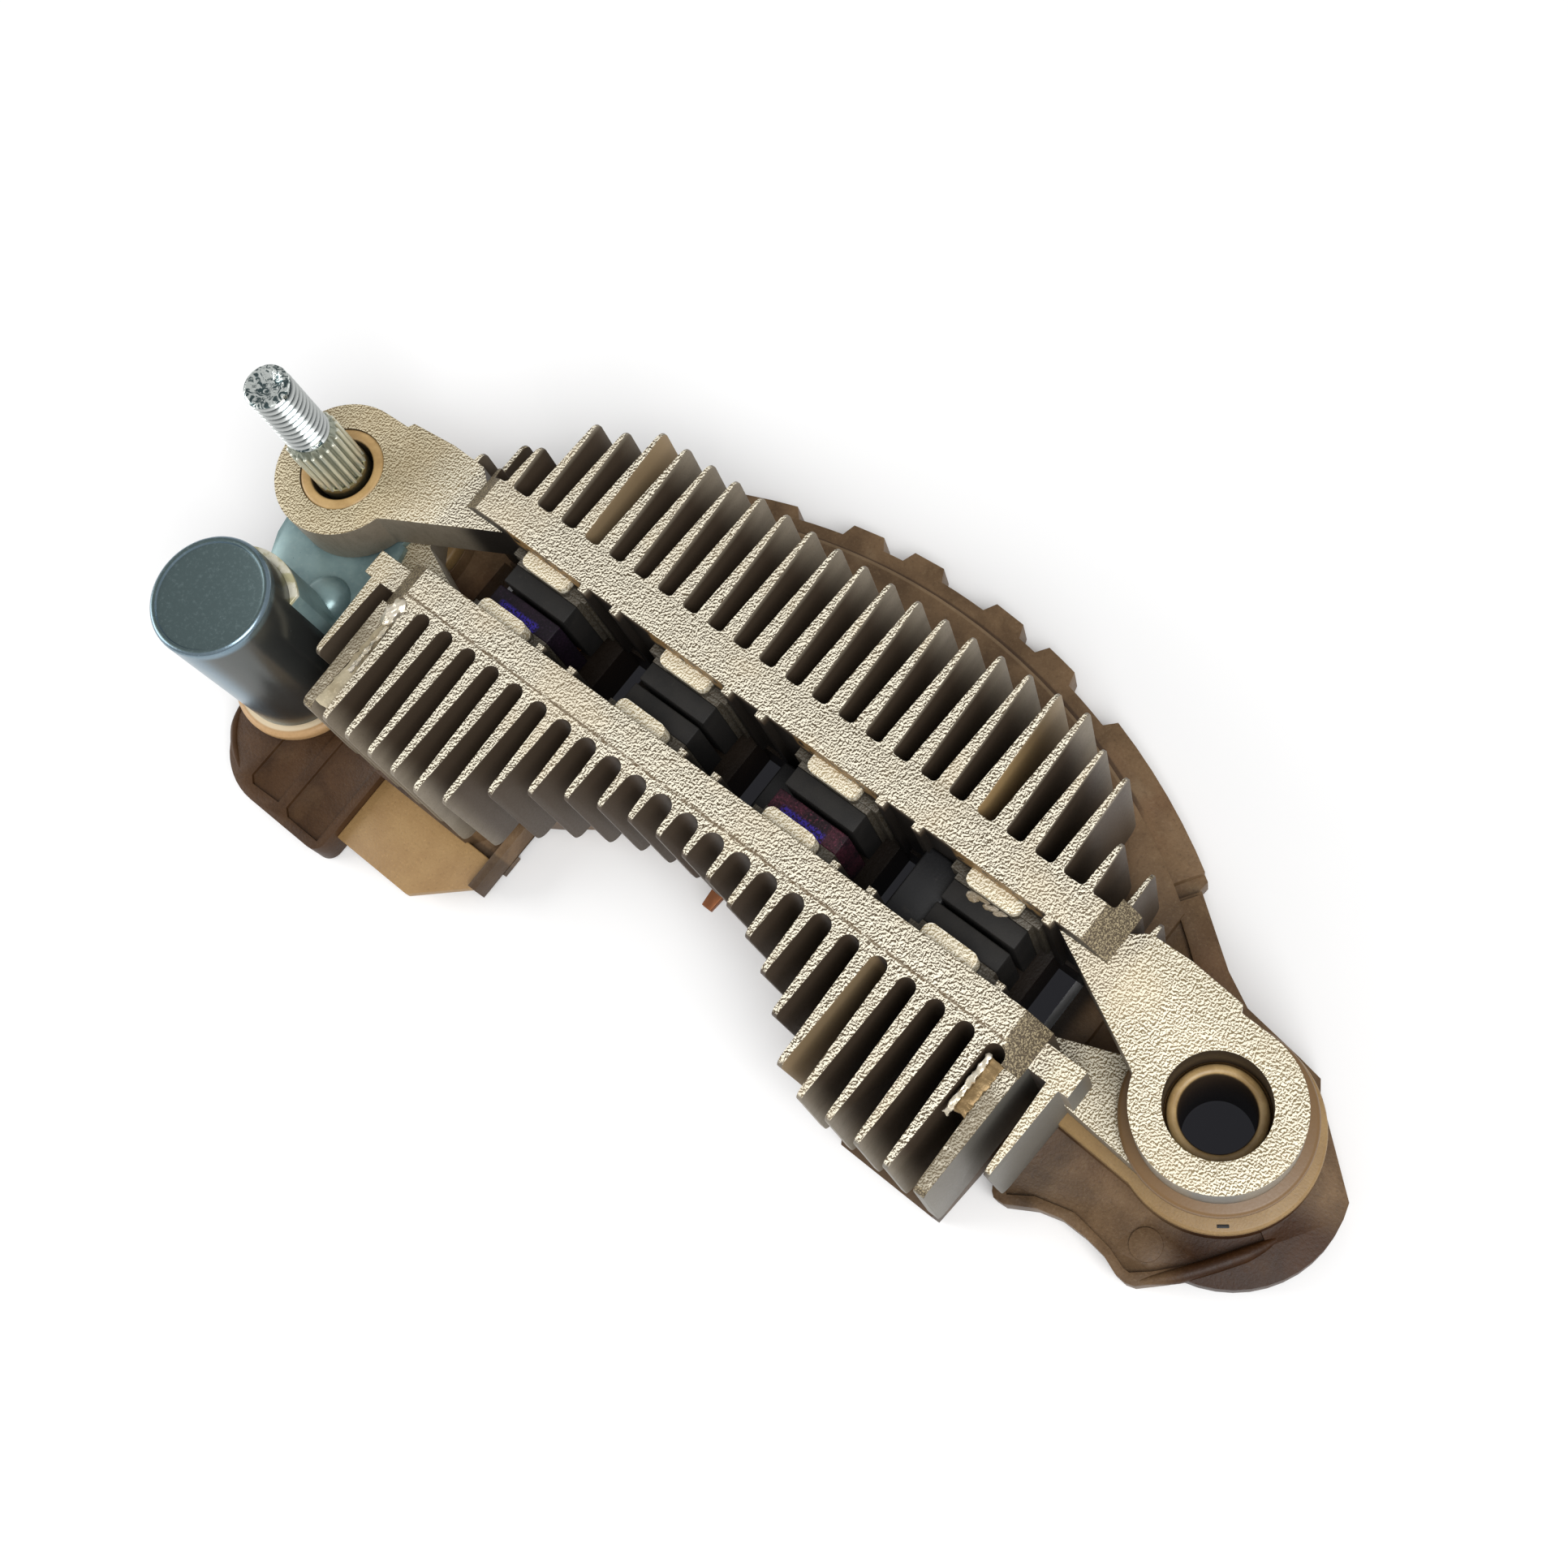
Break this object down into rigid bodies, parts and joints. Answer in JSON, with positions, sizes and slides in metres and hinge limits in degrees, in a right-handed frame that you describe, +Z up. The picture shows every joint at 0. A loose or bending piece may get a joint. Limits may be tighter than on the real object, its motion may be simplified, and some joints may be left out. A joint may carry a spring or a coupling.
{
  "type": "alternator rectifier",
  "caption": "Finned rectifier of a car alternator: two cast heatsinks with the diodes between them, on a moulded terminal frame with a suppression capacitor and the output stud.",
  "frame": {"origin": "on the seat plane of the moulded frame, midway between the two bolt axes", "axes": "+X along the line of the bolt axes towards the open bolt bush, +Y away from the machine's shaft towards the outer fins, +Z up from the seat along the bolts"},
  "size_m": [0.1394, 0.0652, 0.0378],
  "materials": {
    "cast_aluminium": "sand-blasted casting with a pale champagne cast",
    "tan_insulation": "satin",
    "stud_steel": "bright plated",
    "brown_moulding": "matte",
    "can_metal": "smooth drawn metal",
    "tan_seal": "satin",
    "zinc_steel": "glossy blue-grey zinc",
    "grey_epoxy": "matte",
    "purple_epoxy": "matte with a purple cast",
    "plated_base": "blasted plating",
    "copper_lead": "dull copper",
    "black_cover": "semi-gloss"
  },
  "bodies": {
    "root": {"outer_heatsink": "cast_aluminium", "inner_heatsink": "cast_aluminium", "bolt_bush": "tan_insulation", "stud_bush": "tan_insulation", "right_insulating_plate": "tan_insulation", "left_insulating_plate": "tan_insulation", "output_stud": "stud_steel", "terminal_frame": "brown_moulding", "terminal_plate": "tan_insulation", "capacitor_can": "can_metal", "capacitor_seal": "tan_seal", "capacitor_bracket": "zinc_steel", "outer_diode_1": "grey_epoxy", "outer_diode_2": "grey_epoxy", "outer_diode_3": "grey_epoxy", "outer_diode_4": "grey_epoxy", "outer_diode_base_1": "plated_base", "outer_diode_base_2": "plated_base", "outer_diode_base_3": "plated_base", "outer_diode_base_4": "plated_base", "inner_diode_1": "purple_epoxy", "inner_diode_2": "grey_epoxy", "inner_diode_3": "purple_epoxy", "inner_diode_4": "grey_epoxy", "inner_diode_base_1": "plated_base", "inner_diode_base_2": "plated_base", "inner_diode_base_3": "plated_base", "inner_diode_base_4": "plated_base", "phase_lead_1": "copper_lead", "phase_lead_2": "copper_lead", "phase_lead_3": "copper_lead", "phase_lead_4": "copper_lead", "lead_cover_1": "black_cover", "lead_cover_2": "black_cover"}
  },
  "joints": []
}
